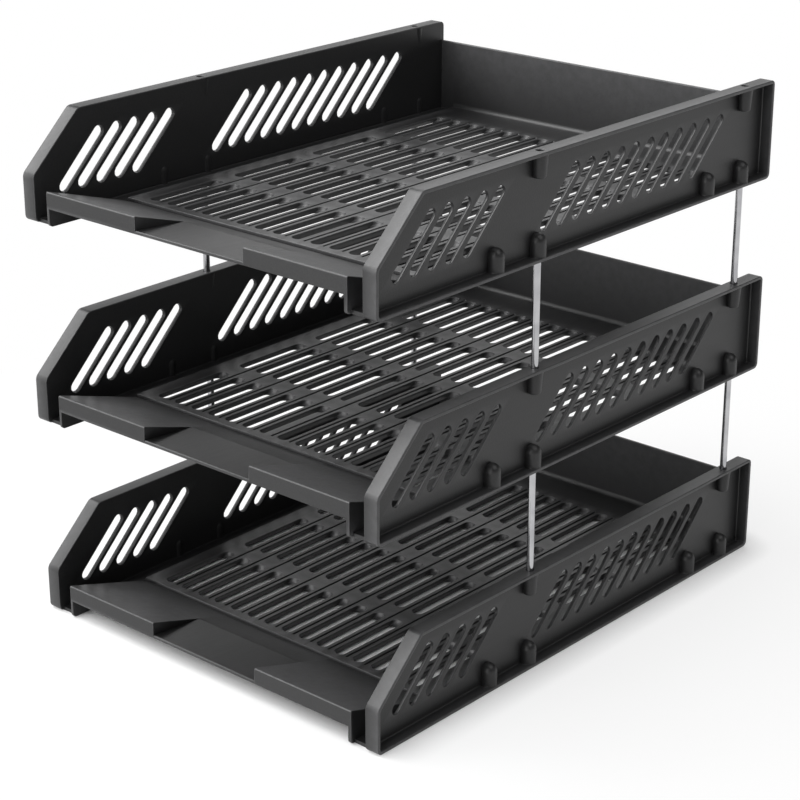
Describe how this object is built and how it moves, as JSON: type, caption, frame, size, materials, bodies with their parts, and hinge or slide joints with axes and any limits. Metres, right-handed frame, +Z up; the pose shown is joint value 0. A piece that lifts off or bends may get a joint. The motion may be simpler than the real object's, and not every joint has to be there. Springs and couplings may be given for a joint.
{
  "type": "tiered document tray",
  "caption": "Stacked open-front document trays of slotted plastic, each with channel sides, a back wall and a front ramp, carried one above another on steel riser rods.",
  "frame": {"origin": "centre of the footprint, on the surface that the lowest tray stands on", "axes": "+Z up, +X to the right as seen from the open front, front towards -Y"},
  "size_m": [0.26, 0.344, 0.2955],
  "materials": {
    "tray_plastic": "fine satin moulding",
    "rod_steel": "polished"
  },
  "bodies": {
    "bottom_tier": {"bottom_tray": "tray_plastic", "lower_rod_front_left": "rod_steel", "lower_rod_front_right": "rod_steel", "lower_rod_rear_left": "rod_steel", "lower_rod_rear_right": "rod_steel"},
    "middle_tier": {"middle_tray": "tray_plastic", "upper_rod_front_left": "rod_steel", "upper_rod_front_right": "rod_steel", "upper_rod_rear_left": "rod_steel", "upper_rod_rear_right": "rod_steel"},
    "top_tier": {"top_tray": "tray_plastic"}
  },
  "joints": [
    {"name": "middle_tier_lift", "type": "slide", "parent": "bottom_tier", "child": "middle_tier", "axis": [0, 0, 1], "range_m": [0, 0.04]},
    {"name": "top_tier_lift", "type": "slide", "parent": "middle_tier", "child": "top_tier", "axis": [0, 0, 1], "range_m": [0, 0.04]}
  ]
}
